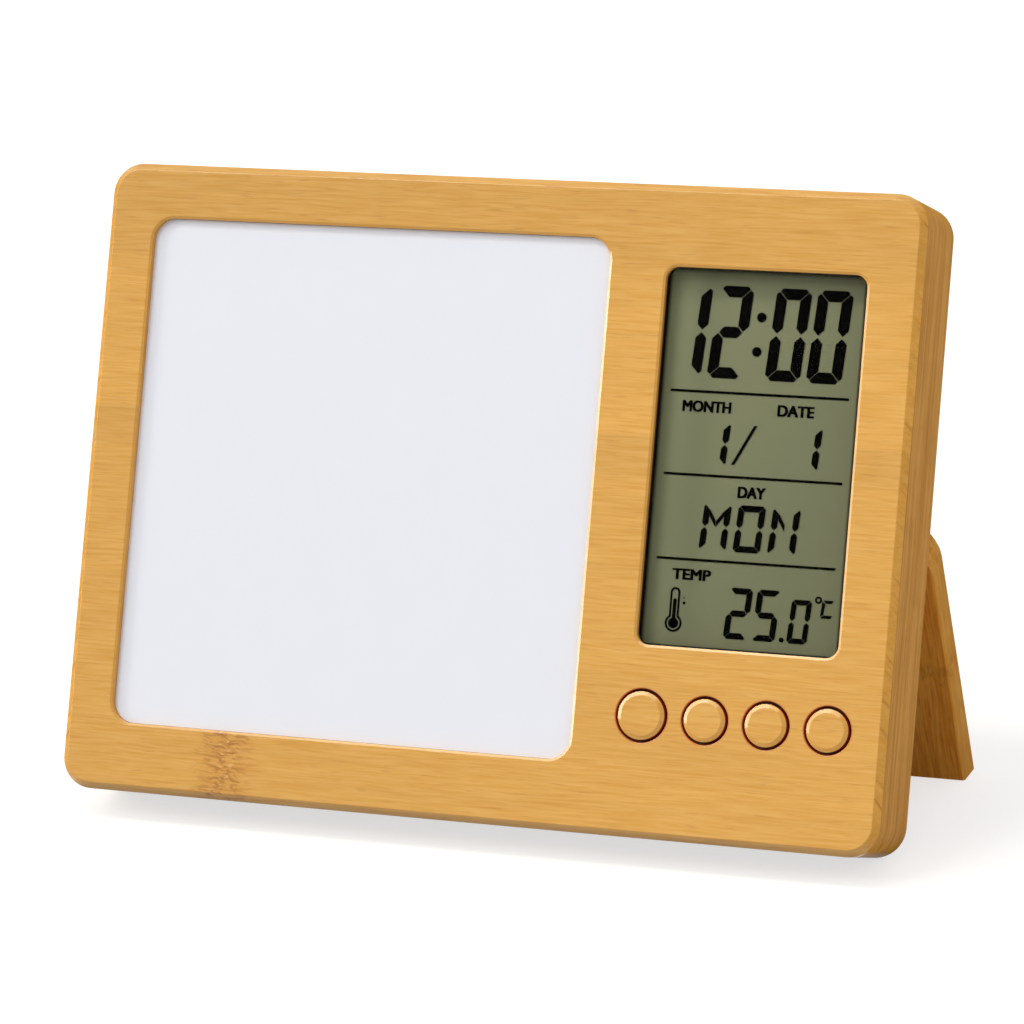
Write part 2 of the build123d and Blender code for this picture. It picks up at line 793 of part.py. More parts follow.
# Battery box: a tray with a flange on the back of the board, a notch for the door's tab,
# bores for the door's pins and slots for the contacts' tails
contact_front = cell_depth - contact_width / 2
contact_ends = [
    (display_x + side * (box_inner_width - contact_thickness) / 2, place)
    for side in (-1, 1)
    for place in cell_places
]
with BuildPart() as battery_box:
    with BuildSketch(at(box_depth)):
        with Locations((display_x, box_y)):
            Rectangle(box_width, box_height)
    extrude(amount=-(box_back - box_depth))
    with BuildSketch(at(board_depth)):
        with Locations((display_x, box_y)):
            RectangleRounded(
                box_width + 2 * box_flange_margin,
                box_height + 2 * box_flange_margin,
                box_flange_corner_radius,
            )
    extrude(amount=-(box_back - board_depth))
    with BuildSketch(at(box_depth + box_floor)):
        with Locations((display_x, box_y)):
            Rectangle(box_inner_width, box_inner_height)
    extrude(amount=-(box_back - box_depth - box_floor), mode=Mode.SUBTRACT)
    with BuildSketch(at(box_back - door_tab_thickness - door_clearance)):
        with Locations((display_x, box_inner_bottom)):
            Rectangle(
                door_tab_width + 2 * door_clearance,
                box_wall + door_tab_reach + door_clearance,
                align=(Align.CENTER, Align.MAX),
            )
    extrude(amount=-(door_tab_thickness + door_clearance), mode=Mode.SUBTRACT)
    with BuildSketch(door_hinge):
        Circle(door_pin_radius + door_pin_clearance)
    extrude(amount=box_width / 2, both=True, mode=Mode.SUBTRACT)
    with BuildSketch(at(board_depth)):
        with Locations(box_screw_places):
            Circle(box_screw_radius + screw_clearance)
    extrude(amount=-(box_back - board_depth), mode=Mode.SUBTRACT)
    with BuildSketch(at(box_depth)):
        with Locations(contact_ends):
            Rectangle(
                contact_thickness + 2 * contact_slot_clearance,
                contact_tail_width + 2 * contact_slot_clearance,
            )
    extrude(amount=-box_floor, mode=Mode.SUBTRACT)
battery_box.part.label = "battery_box"
export_step(battery_box.part, "parts/battery_box.step")

with BuildPart() as battery_box_screws:
    with BuildSketch(at(box_back)):
        with Locations(box_screw_places):
            Circle(box_screw_radius)
    extrude(amount=box_back - board_depth + screw_bite)
    with BuildSketch(at(box_back)):
        with Locations(box_screw_places):
            Circle(box_screw_head_radius)
    extrude(amount=-box_screw_head_height)
    head_faces = battery_box_screws.faces().sort_by(forward)[:len(box_screw_places)]
    fillet(head_faces.edges(), radius=box_screw_head_height / 2)
battery_box_screws.part.label = "battery_box_screws"
export_step(battery_box_screws.part, "parts/battery_box_screws.step")

# Two cells, head to tail
for number, (place, heading) in enumerate(zip(cell_places, (1, -1)), start=1):
    cell_start = at(cell_depth).from_local_coords((display_x - heading * cell_length / 2, place, 0))
    can_length = cell_length - cell_button_height
    with BuildPart() as cell:
        with BuildSketch(Plane(cell_start, inward, across * heading)):
            Circle(cell_radius)
        extrude(amount=can_length)
        fillet(cell.edges().filter_by(GeomType.CIRCLE), radius=cell_rim_radius)
        with BuildSketch(Plane(cell_start + across * (heading * can_length), inward, across * heading)):
            Circle(cell_button_radius)
        extrude(amount=cell_button_height)
    cell.part.label = f"battery_{number}"
    export_step(cell.part, f"parts/battery_{number}.step")

# Contacts: a plate on the end wall, a leaf bowed out to the cell and a tail down to the circuit board
leaf_reach = (box_inner_width - cell_length) / 2 - contact_thickness - contact_slot_clearance
with BuildPart() as battery_contacts:
    for end_x, end_y in contact_ends:
        toward_cell = 1 if end_x < display_x else -1
        leaf_x = end_x + toward_cell * leaf_reach
        with BuildSketch(at(contact_front)):
            with Locations((end_x, end_y)):
                Rectangle(contact_thickness, contact_span)
            with BuildLine():
                Polyline(
                    (end_x, end_y - contact_span / 2 + contact_thickness),
                    (leaf_x, end_y - contact_tail_width / 2),
                    (leaf_x, end_y + contact_tail_width / 2),
                    (end_x, end_y + contact_span / 2 - contact_thickness),
                )
            trace(line_width=contact_thickness)
        extrude(amount=-contact_width)
        with BuildSketch(at(circuit_back)):
            with Locations((end_x, end_y)):
                Rectangle(contact_thickness, contact_tail_width)
        extrude(amount=-(contact_front - circuit_back))
battery_contacts.part.label = "battery_contacts"
export_step(battery_contacts.part, "parts/battery_contacts.step")

# Battery door: full-round hinge edge with a pin at each end, a tab at the free edge and finger ribs
with BuildPart() as battery_door:
    with BuildSketch(at(box_back - door_thickness)):
        with Locations((display_x, door_bottom)):
            Rectangle(door_width, door_axis_y - door_bottom, align=(Align.CENTER, Align.MIN))
    extrude(amount=-door_thickness)
    with BuildSketch(door_hinge):
        Circle(door_thickness / 2)
    extrude(amount=door_width / 2, both=True)
    with BuildSketch(door_hinge):
        Circle(door_pin_radius)
    extrude(amount=door_width / 2 + door_clearance + door_pin_length, both=True)
    with BuildSketch(at(box_back - door_tab_thickness)):
        with Locations((display_x, door_bottom)):
            Rectangle(
                door_tab_width,
                door_clearance + box_wall + door_tab_reach,
                align=(Align.CENTER, Align.MAX),
            )
    extrude(amount=-door_tab_thickness)
    with BuildSketch(at(box_back)):
        with Locations((display_x, (door_bottom + door_axis_y) / 2)):
            with GridLocations(0, door_rib_pitch, 1, door_rib_count):
                SlotOverall(door_rib_length, door_rib_width)
    extrude(amount=-door_rib_height)
battery_door.part.label = "battery_door"
export_step(battery_door.part, "parts/battery_door.step")

# Prop leg: a full-width plate with a rounded nose and corners, a flat that stops it against the back
# when open, a foot cut level with the table, and a notch for each hinge bracket
leg_width = board_width - 2 * leg_side_inset
leg_profile = Plane(origin=pivot, x_dir=leg_outward, z_dir=across)
notch_width = bracket_width + 2 * bracket_side_clearance
notch_bottom = -(pivot_stand_off + bracket_notch_clearance)
pin_inner_end = hinge_offset - notch_width / 2 - hinge_pin_bite
pin_outer_end = hinge_offset + notch_width / 2 + hinge_pin_bite
nose_start = leg_nose_share * leg_thickness
nose_top = leg_run_radius * sin(opening) + leg_stop_length * cos(opening)
stop_start = (-leg_run_radius * cos(opening), leg_run_radius * sin(opening))
stop_end = (stop_start[0] + leg_stop_length * sin(opening), stop_start[1] + leg_stop_length * cos(opening))
run_start = (-leg_inner, sqrt(leg_run_radius**2 - leg_inner**2))
nose_reach = pivot_stand_off - stop_end[0]
nose_radius = (nose_reach**2 + (stop_end[1] - nose_start) ** 2) / (2 * nose_reach)
leg_plan = Plane(origin=pivot, x_dir=across * -1, z_dir=leg_outward)
leg_plan_height = nose_start + nose_radius + foot_outer_run + overrun

# The space within the leg's outline as seen from behind, with its rounded upper corners
with BuildPart() as leg_space:
    with BuildSketch(leg_plan) as leg_outline:
        with Locations((0, nose_start + nose_radius)):
            Rectangle(leg_width, leg_plan_height, align=(Align.CENTER, Align.MAX))
        fillet(leg_outline.vertices().group_by(Axis.Y)[-1], radius=leg_corner_radius)
    extrude(amount=2 * leg_thickness, both=True)

with BuildPart() as leg:
    with BuildSketch(leg_profile):
        with BuildLine():
            RadiusArc(run_start, stop_start, leg_run_radius)
            Line(stop_start, stop_end)
            TangentArc((pivot_stand_off, nose_start), stop_end, tangent=(0, 1))
            Polyline(
                (pivot_stand_off, nose_start),
                (pivot_stand_off, -foot_outer_run),
                (-leg_inner, -foot_inner_run),
                run_start,
            )
        make_face()
    extrude(amount=leg_width / 2, both=True)
    side_edges = leg.faces().filter_by(Axis.X).edges()
    foot_edges = leg.faces().sort_by(Axis.Z)[0].edges()
    fillet([edge for edge in side_edges if edge not in foot_edges], radius=leg_edge_radius)
    add(leg_space.part, mode=Mode.INTERSECT)
    for side in (-1, 1):
        with BuildSketch(leg_profile.offset(side * hinge_offset)):
            with Locations((0, notch_bottom)):
                Rectangle(
                    2 * leg_thickness,
                    nose_top - notch_bottom + overrun,
                    align=(Align.CENTER, Align.MIN),
                )
        extrude(amount=notch_width / 2, both=True, mode=Mode.SUBTRACT)
        with BuildSketch(leg_profile.offset(side * pin_inner_end)):
            Circle(hinge_pin_radius + hinge_pin_seat_clearance)
        extrude(amount=side * (leg_width / 2 - pin_inner_end), mode=Mode.SUBTRACT)
leg.part.label = "leg"
export_step(leg.part, "parts/leg.step")

# Hinge pins in the leg, and the bamboo plugs that close their holes at the leg's sides
with BuildPart() as pin_plugs:
    for side in (-1, 1):
        with BuildSketch(leg_profile.offset(side * pin_outer_end)):
            Circle(hinge_pin_radius)
        extrude(amount=side * (leg_width / 2 - pin_outer_end))
    add(leg_space.part, mode=Mode.INTERSECT)
pin_plugs.part.label = "pin_plugs"
export_step(pin_plugs.part, "parts/pin_plugs.step")

bracket_profile = Plane(origin=pivot, x_dir=inward, z_dir=across)
for side_name, side in (("left", -1), ("right", 1)):
    with BuildPart() as hinge_pin:
        with BuildSketch(leg_profile.offset(side * pin_inner_end)):
            Circle(hinge_pin_radius)
        extrude(amount=side * (pin_outer_end - pin_inner_end))
    hinge_pin.part.label = f"hinge_pin_{side_name}"
    export_step(hinge_pin.part, f"parts/hinge_pin_{side_name}.step")

    # Bracket: an eye round the pin on a strip that is screwed to the back of the board
    with BuildPart() as hinge_bracket:
        with BuildSketch(bracket_profile.offset(side * hinge_offset)):
            Circle(pivot_stand_off)
            with Locations((-pivot_stand_off, 0)):
                Rectangle(bracket_strip_thickness, bracket_strip_length, align=(Align.MIN, Align.MIN))
            Circle(hinge_pin_radius + hinge_pin_clearance, mode=Mode.SUBTRACT)
        extrude(amount=bracket_width / 2, both=True)
        with BuildSketch(at(board_depth)):
            with Locations([place for place in bracket_screw_places if place[0] * side > 0]):
                Circle(bracket_screw_radius + screw_clearance)
        extrude(amount=-bracket_strip_thickness, mode=Mode.SUBTRACT)
    hinge_bracket.part.label = f"hinge_bracket_{side_name}"
    export_step(hinge_bracket.part, f"parts/hinge_bracket_{side_name}.step")

with BuildPart() as bracket_screws:
    with BuildSketch(at(bracket_back)):
        with Locations(bracket_screw_places):
            Circle(bracket_screw_radius)
    extrude(amount=bracket_strip_thickness + screw_bite)
    with BuildSketch(at(bracket_back)):
        with Locations(bracket_screw_places):
            Circle(bracket_screw_head_radius)
    extrude(amount=-bracket_screw_head_height)
    head_faces = bracket_screws.faces().sort_by(forward)[:len(bracket_screw_places)]
    fillet(head_faces.edges(), radius=bracket_screw_head_height / 2)
bracket_screws.part.label = "bracket_screws"
export_step(bracket_screws.part, "parts/bracket_screws.step")
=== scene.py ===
import json
from math import atan2, cos, pi, radians, sin, sqrt

import bmesh
import bpy
from mathutils import Matrix, Vector


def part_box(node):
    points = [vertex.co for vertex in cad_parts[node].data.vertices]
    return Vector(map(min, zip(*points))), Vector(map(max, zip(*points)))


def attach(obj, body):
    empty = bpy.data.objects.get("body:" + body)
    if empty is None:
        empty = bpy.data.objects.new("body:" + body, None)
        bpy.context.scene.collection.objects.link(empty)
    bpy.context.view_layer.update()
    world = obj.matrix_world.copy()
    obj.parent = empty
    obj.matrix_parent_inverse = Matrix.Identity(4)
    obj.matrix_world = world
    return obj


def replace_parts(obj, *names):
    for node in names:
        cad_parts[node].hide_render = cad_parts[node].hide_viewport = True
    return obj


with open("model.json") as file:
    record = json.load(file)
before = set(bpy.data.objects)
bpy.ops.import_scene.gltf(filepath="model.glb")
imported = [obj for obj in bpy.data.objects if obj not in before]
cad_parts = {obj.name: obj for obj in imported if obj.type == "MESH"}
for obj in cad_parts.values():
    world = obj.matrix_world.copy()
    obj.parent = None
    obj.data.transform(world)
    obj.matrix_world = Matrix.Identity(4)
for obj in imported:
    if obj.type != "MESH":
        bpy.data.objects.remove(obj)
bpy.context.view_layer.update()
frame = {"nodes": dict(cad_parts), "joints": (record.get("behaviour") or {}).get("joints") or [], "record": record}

# The desk clock's looks: lacquered bamboo, a dry-wipe panel, a liquid crystal display and black battery
# fittings, on a pale floor. Sizes are in millimetres unless a name says otherwise.
MM = 0.001
nodes = frame["nodes"]
joints = {joint["name"]: joint for joint in frame["joints"]}
slots = {row["node"]: row["material_slot"] for row in frame["record"]["subparts"]}

# Camera, as the photograph was taken
view_azimuth = radians(21.0)
view_elevation = radians(16.36)
view_roll = radians(-2.36)
view_back = Vector((
    sin(view_azimuth) * cos(view_elevation),
    -cos(view_azimuth) * cos(view_elevation),
    sin(view_elevation),
))
view_distance = 1005.6
view_aim = Vector((6.14, -14.45, 70.68))
focal_length = 162.2
sensor_width = 36.0

# Light: lamps by direction, strength and spread, and a strip of small lamps, each by the turn about the
# board's face of the rims that mirror it, and its strength
sky_strength = 0.5
lamps = [
    ("key", Vector((-0.5, -0.75, 0.75)), 0.66, radians(22)),
    ("fill", Vector((0.9, -0.25, 0.35)), 0.4, radians(60)),
]
strip_lamps = [(50 + 10 * number, 0.08) for number in range(3)]
strip_lamps += [(80 + 10 * number, 0.17) for number in range(12)]
strip_spread = radians(9)
strip_colour = (1.0, 0.96, 0.82)
seeing_rays = ["Is Camera Ray", "Is Glossy Ray", "Is Transmission Ray"]
floor_radius = 4000.0
floor_segments = 96
floor_tone = 0.45
floor_glow = 0.66

# Bamboo's figure: the length of each pattern along the fibres, into the wood and across them, and the noise
# between which it sets in. End grain has its lengths across, into the wood and along
drift_lengths = (38.0, 16.0, 7.0)
drift_width = 2.4
fibre_lengths = (15.0, 1.6, 0.56)
fibre_range = (0.28, 0.74)
broad_lengths = (80.0, 9.0, 4.5)
broad_tones = (0.16, 0.92)
dash_lengths = (6.5, 1.2, 0.4)
dash_range = (0.6, 0.76)
dash_relief = -0.6
layer_lengths = (34.0, 1.5, 40.0)
layer_range = (0.34, 0.66)
pore_lengths = (6.0, 0.4, 6.0)
pore_range = (0.54, 0.74)
wood_gloss = (0.2, 0.36)
wood_relief = 0.03

# How squarely a surface faces along the fibres where end grain sets in, where a bevel begins and ends and
# where the lacquer ends, how squarely one faces forward to take the front tones of painted bounce light, and
# the lacquer's share behind the face with the depths between which it thins
cut_range = (0.75, 0.92)
bevel_start = (0.5, 0.66)
bevel_end = (0.8, 0.95)
lacquer_end = (0.4, 0.68)
front_bounce_range = (0.5, 0.9)
lacquer_behind = 0.25
lacquer_depths = (2.0, 5.0)

# Torn fibres on a bevel: how the ticks slant, the lengths of ticks and of torn patches, where the patches are
# taken from their noise, and the noise between which patches, dark ticks and light ticks set in
tick_slant = 1.3
tick_lengths = (1.5, 5.0, 1.0)
tear_lengths = (9.0, 1.0, 1.0)
tear_layer = 3.0
tear_range = (0.35, 0.65, 0.25, 1.0)
dark_range = (0.52, 0.7)
light_range = (0.3, 0.46, 1.0, 0.0)

# A scar's pattern: the lengths of its wander, crumpling, stain and flecks, how far wander and crumpling shift
# it, how it fans out, the noise between which stain and flecks set in, and where it begins to fade
wander_lengths = (6.0, 10.0, 3.2)
wander_width = 8.0
crumple_lengths = (2.4, 4.0, 2.0)
crumple_width = 1.5
scar_fan = 0.12
stain_lengths = (3.4, 2.0, 0.68)
stain_range = (0.44, 0.6)
fleck_lengths = (1.7, 2.0, 0.7)
fleck_range = (0.57, 0.68)
patch_solid = 1.5
core_solid = 0.5
top_fade = 1.0

# Shades, each with the strength that it is laid on with
dash_shade = ((181, 122, 55), 0.42)
pore_shade = ((160, 104, 42), 0.22)
rim_shade = ((208, 146, 40), 0.5)
arris_shade = ((140, 90, 42), 0.3)
glue_shade = ((128, 82, 40), 0.4)
# Painted light, lightening the bevels that cross the grain
bevel_painted_light = ((228, 165, 83), 0.5)
dark_tick_shade = ((170, 106, 38), 0.6)
light_tick_shade = ((236, 186, 98), 0.45)
scar_shade = ((200, 138, 58), 0.45)
stain_shade = ((162, 100, 34), 0.9)
fleck_shade = ((236, 190, 118), 0.85)
burnt_shade = ((192, 84, 46), 1.0)
# Painted shade: black on the display window's walls below the rim
wall_shadow_shade = ((24, 18, 12), 1.0)
# Painted shadow: black along the display ground's edges, where the window's walls shade it
edge_shadow_shade = ((10, 10, 8), 1.0)
band_shade = ((184, 112, 58), 1.0)
cell_end_shade = ((198, 196, 190), 1.0)

# The two tones of end grain, of each piece's fibres, light and dark, of the leg's front, which is redder as
# painted warm bounce light in its shade, and of the other finishes
end_tones = ((226, 167, 93), (208, 149, 78))
board_tones = ((225, 172, 88), (210, 151, 57))
leg_tones = ((228, 168, 86), (206, 142, 62))
leg_front_bounce_tones = ((255, 182, 80), (226, 140, 44))
panel_tones = ((226, 229, 241), (228, 231, 243))
ground_shades = ((132, 136, 103), (138, 142, 108))
steel_tones = ((168, 169, 172), (206, 206, 208))
mask_tones = ((20, 84, 46), (46, 122, 66))
sleeve_tones = ((24, 25, 28), (34, 35, 38))

# The face: its size, the tones of the strips that it is laid up from, by their share of its height, whose first
# stops are painted shade darkening its foot, and painted light that grows slowly from its left to its right
board_width = 190.0
board_height = 141.0
strip_tones_and_foot_shade = [
    # The first three stops are painted shade that darkens the face's foot
    (0.0, 0.66),
    (0.005, 0.78),
    (0.011, 0.98),
    (0.3, 0.985),
    (0.546, 1.0),
    (0.552, 0.96),
    (0.611, 0.935),
    (0.614, 1.04),
    (0.82, 1.02),
    (0.9, 0.93),
    (1.0, 0.94),
]
# Painted light: the face grows slowly lighter from its left to its right
painted_light_sweep = (0.955, 1.01)

# Scars: each one's place along the grain, half width, reach across the grain and strength
board_scar = (-55.5, 8.5, 15.0, 0.8)
leg_scar = (-36.0, 3.6, -64.0, 0.32)

# Glue lines at depths behind the face, and the arris behind the face's bevel, worn dark
glue_depths = [6.7, 13.8]
glue_half_width = 0.22
arris_depth = 1.85
arris_half_width = 0.5

# Scorching: the gap beside a button cap and the depths between which it sets in, and the slope of the
# rims that the cutter browned, with how far from it the brown fades
button_gap = 0.62
burn_top = -0.2
burn_bottom = 0.3
rim_slope = radians(25)
rim_slope_spread = 0.08

# Painted shade inside the display window, black on its walls where the cavity behind them lies dark: how far in
# from the lens's edges it begins, and the depths between which it sets in and ends
wall_shadow_inset = 1.6
wall_shadow_top = (1.0, 1.8)
wall_shadow_bottom = (4.5, 5.0)

# Lengths of the patterns in the other finishes: the panel's mottle, the clear sheets' handling marks, cast
# surfaces' soft change of tone, the steel's marks, the display ground's grain and cloud, and the scuffs on a
# cell, whose band begins at a share of its length
mottle_lengths = (9.0, 9.0, 9.0)
handling_lengths = (7.0, 7.0, 7.0)
cast_lengths = (14.0, 14.0, 14.0)
brush_lengths = (9.0, 0.12, 0.12)
pearl_lengths = (0.35, 0.35, 0.35)
cloud_lengths = (22.0, 22.0, 22.0)
cloud_tones = (0.08, 0.96)
scuff_lengths = (6.0, 0.8, 0.8)
band_edge = (0.66, 0.665)
cell_end_range = (0.6, 0.8)
clear_fade = 0.8

# Printing on the display, and painted shade and light on its ground: where the painted shadow along the ground's
# edges fades out, measured in from the glass's left, right, bottom and top edges, the painted light and shade
# across the ground as its tones near to and far from its left, right and bottom edges, the printing's depth
# behind the face and thickness, how squarely a pane's rear faces inward, and each word's left, right, bottom and
# top
painted_edge_shadows = [(1.3, 2.5), (3.4, 4.15), (2.3, 2.66), (1.4, 3.0)]
ground_painted_light = [(2.0, 12.0, 1.42, 1.0), (0.0, 49.0, 0.95, 1.08), (0.0, 86.0, 0.84, 1.0)]
print_depth = 4.77
print_thickness = 0.08
pane_rear = 0.9
words = [
    ("label_month", "MONTH", 42.6, 53.6, 92.4, 95.0),
    ("label_date", "DATE", 64.0, 72.2, 92.4, 95.0),
    ("label_day", "DAY", 56.6, 62.8, 74.4, 77.0),
    ("label_temperature", "TEMP", 43.4, 52.1, 56.1, 58.6),
]
word_boldness = 0.14
word_shifts = ((-1, -0.5), (-1, 0.5), (0, 0), (1, -0.5), (1, 0.5))
thermometer_across = 44.5
bulb_height = 46.7
thermometer_rings = [(1.08, 1.9, 54.45), (0.66, 1.46, 54.0)]
mercury = (0.38, 1.14, 52.0)
thermometer_dots = [(46.6, 51.15, 0.32), (46.5, 52.25, 0.16)]
degree_place = (76.5, 53.8)
degree_radii = (0.78, 0.36)
letter_c_bars = [
    [(77.1, 50.3), (77.8, 50.75), (78.07, 53.1), (77.45, 53.55)],
    [(77.6, 53.85), (79.85, 53.85), (79.5, 53.2), (78.2, 53.2)],
    [(77.2, 50.0), (79.4, 50.0), (79.75, 50.65), (77.9, 50.65)],
]

# Screws: the cross recess and the height of the head's rim as shares of the head, how finely the head is
# divided, how each screw is turned, how near the tip and how far from the axis the shank's points are looked
# for, the share of the head's radius that counts as head, and the tip's share of the shank
cross_width = 0.14
cross_length = 0.62
cross_depth = 0.42
cross_edge = 1.25
cross_slope = 0.5
head_rim = 0.62
head_turns = 48
head_rings = 12
ring_crowding = 0.8
first_turn = 0.4
turn_step = 1.1
tip_reach = 0.1
tip_hole = 0.2
tip_share = 0.4
head_share = 0.95
weld_distance = 0.0005

# Board axes, from the frame: across is +X, up runs up the face and inward into the board
across = Vector((1, 0, 0))
inward = Vector(joints["button_1_press"]["axis"]).normalized()
up = Vector((0, -inward.z, inward.y))


def reach(node, direction):
    """The least and the greatest distance of a node's points along a direction."""
    distances = [direction.dot(vertex.co) for vertex in nodes[node].data.vertices]
    return min(distances), max(distances)


board_origin = inward * reach("front_ply", inward)[0] + up * reach("middle_ply", up)[0]
board_turn = Matrix((across, inward, up))

# Each button cap's centre on the face and its radius
button_circles = []
for number in range(1, 5):
    cap = f"button_{number}_cap"
    left, right = reach(cap, across)
    height = sum(reach(cap, up)) / 2 - up.dot(board_origin)
    button_circles.append(((left + right) / 2 / MM, height / MM, (right - left) / 2 / MM))

# Leg axes: along its length, out of its back, and across
leg_splay = radians(-joints["leg_fold"]["range_deg"][0]) - atan2(up.y, up.z)
leg_outward = Vector((0, cos(leg_splay), sin(leg_splay)))
leg_along = Vector((0, -sin(leg_splay), cos(leg_splay)))
leg_turn = Matrix((leg_along, leg_outward, -across))
leg_origin = Vector(joints["leg_fold"]["pos_m"])


def on_board(u, v, depth):
    """The point that lies u across and v up the board's face, at a depth behind it."""
    return board_origin + (across * u + up * v + inward * depth) * MM


def linear(red, green, blue):
    """A colour in linear light, from its display values of 0 to 255."""
    shares = [value / 255 for value in (red, green, blue)]
    return tuple(x / 12.92 if x <= 0.04045 else ((x + 0.055) / 1.055) ** 2.4 for x in shares) + (1.0,)


class Shader:
    """A material under construction, with short forms of the nodes that it is made of."""

    def __init__(self, name):
        self.material = bpy.data.materials.new(name)
        self.material.use_nodes = True
        self.tree = self.material.node_tree
        self.surface = self.tree.nodes["Principled BSDF"]

    def fill(self, socket, value):
        if isinstance(value, bpy.types.NodeSocket):
            self.tree.links.new(value, socket)
        else:
            socket.default_value = value

    def node(self, kind, inputs=None, **settings):
        node = self.tree.nodes.new("ShaderNode" + kind)
        for setting, value in settings.items():
            setattr(node, setting, value)
        for socket, value in (inputs or {}).items():
            self.fill(node.inputs[socket], value)
        return node

    def set(self, inputs):
        for socket, value in inputs.items():
            self.fill(self.surface.inputs[socket], value)
        return self.material

    def math(self, operation, first, second=0.0, third=0.0):
        return self.node("Math", {0: first, 1: second, 2: third}, operation=operation).outputs[0]

    def times(self, first, second):
        return self.math("MULTIPLY", first, second)

    def mix(self, share, first, second, blend="MIX"):
        node = self.node("Mix", {0: share, 6: first, 7: second}, data_type="RGBA", blend_type=blend)
        return node.outputs[2]

    def between(self, share, shades):
        """A mix of two shades."""
        return self.mix(share, *[linear(*shade) for shade in shades])

    def tint(self, colour, share, shade, strength):
        """A colour with a shade laid over it, by a share of its strength."""
        return self.mix(self.times(share, strength), colour, linear(*shade))

    def toned(self, colour, tone):
        """A colour times a tone."""
        return self.mix(1.0, colour, self.vector(tone, tone, tone), blend="MULTIPLY")

    def grade(self, value, low, high, first=0.0, last=1.0):
        """A smooth step from first to last while the value goes from low to high."""
        inputs = {"Value": value, "From Min": low, "From Max": high, "To Min": first, "To Max": last}
        return self.node("MapRange", inputs, interpolation_type="SMOOTHSTEP").outputs[0]

    def ramp(self, value, stops):
        """Tones that follow a value from stop to stop; the first stop is at 0 and the last at 1."""
        node = self.node("ValToRGB", {0: value})
        elements = node.color_ramp.elements
        for position, tone in stops[1:-1]:
            elements.new(position)
        for element, (position, tone) in zip(elements, stops):
            element.color = (tone, tone, tone, 1.0)
        return node.outputs[0]

    def pulse(self, value, middle, half_width):
        """One near a middle value, falling to zero at a half width from it."""
        away = self.math("ABSOLUTE", self.math("SUBTRACT", value, middle))
        return self.grade(away, 0.0, half_width, 1.0, 0.0)

    def vector(self, x, y, z):
        return self.node("CombineXYZ", {0: x, 1: y, 2: z}).outputs[0]

    def stretched(self, place, lengths):
        """A place divided by a length along each of its axes."""
        return self.vector(*[self.math("DIVIDE", x, length) for x, length in zip(place, lengths)])

    def noise(self, vector, detail=2.0, roughness=0.5, scale=1.0):
        inputs = {"Vector": vector, "Scale": scale, "Detail": detail, "Roughness": roughness}
        return self.node("TexNoise", inputs).outputs[0]

    def place(self, turn, origin):
        """Millimetres along the three axes of a turned frame, fixed to the object."""
        inputs = {
            "Vector": self.node("TexCoord").outputs["Object"],
            "Location": -(turn @ origin) / MM,
            "Rotation": turn.to_euler(),
            "Scale": (1 / MM, 1 / MM, 1 / MM),
        }
        return self.node("SeparateXYZ", {0: self.node("Mapping", inputs).outputs[0]}).outputs[:]

    def heading(self, axis):
        """How squarely the surface looks along an axis of the object, from -1 to 1."""
        normal = self.node("TexCoord").outputs["Normal"]
        return self.node("VectorMath", {0: normal, 1: axis}, operation="DOT_PRODUCT").outputs["Value"]

    def facing(self, axis):
        """How squarely the surface looks along an axis of the object, either way, from 0 to 1."""
        return self.math("ABSOLUTE", self.heading(axis))

    def bump(self, height, depth, strength=1.0):
        inputs = {"Height": height, "Distance": depth * MM, "Strength": strength}
        return self.node("Bump", inputs).outputs[0]


def bamboo(name, turn, origin, scar, tones, front_bounce_tones=None, lacquer=1.0, on_face=False):
    """Bamboo with its fibres along the first axis of a turned frame, in a light and a dark tone, and, if front
    tones are given, painted warm bounce light on its front.
    """
    shader = Shader(name)
    along, depth, side = shader.place(turn, origin)
    drift = shader.noise(shader.stretched((along, depth, side), drift_lengths))
    drifted = (along, depth, shader.math("MULTIPLY_ADD", drift, drift_width, side))
    fibre = shader.noise(shader.stretched(drifted, fibre_lengths), detail=3.0, roughness=0.65)
    broad = shader.noise(shader.stretched(drifted, broad_lengths))
    dash = shader.grade(shader.noise(shader.stretched(drifted, dash_lengths), detail=1.0), *dash_range)
    streaks = shader.grade(fibre, *fibre_range)
    colour = shader.between(streaks, tones)
    if front_bounce_tones:
        # Painted warm bounce light on the front, where it lies in shade
        front = shader.grade(shader.heading(-turn[1]), *front_bounce_range)
        colour = shader.mix(front, colour, shader.between(streaks, front_bounce_tones))
    colour = shader.tint(colour, dash, *dash_shade)
    tone = shader.math("MULTIPLY_ADD", broad, *broad_tones)

    facing = shader.facing(turn[0])
    cut = shader.grade(facing, *cut_range)
    colour = shader.mix(cut, colour, end_grain(shader, along, depth, side))
    colour = bevel_marks(shader, colour, facing, depth, side)
    colour = knuckle(shader, colour, (along, depth, side), *scar)
    if on_face:
        # The strips' tones, with painted shade along the foot and a painted sweep of light across the face
        tone = shader.times(tone, shader.mix(cut, strips_and_painted_light(shader, along, side), (1.0, 1.0, 1.0, 1.0)))
        colour = board_marks(shader, colour, cut, along, depth, side)

    coat = shader.grade(facing, *lacquer_end, lacquer, 0.0)
    return shader.set({
        "Base Color": shader.toned(colour, tone),
        "Roughness": shader.math("MULTIPLY_ADD", fibre, *wood_gloss),
        "Specular IOR Level": 0.0,
        "Coat Weight": shader.times(coat, shader.grade(depth, *lacquer_depths, 1.0, lacquer_behind)),
        "Coat Roughness": 0.13,
        "Normal": shader.bump(shader.math("MULTIPLY_ADD", dash, dash_relief, fibre), wood_relief, 0.35),
    })


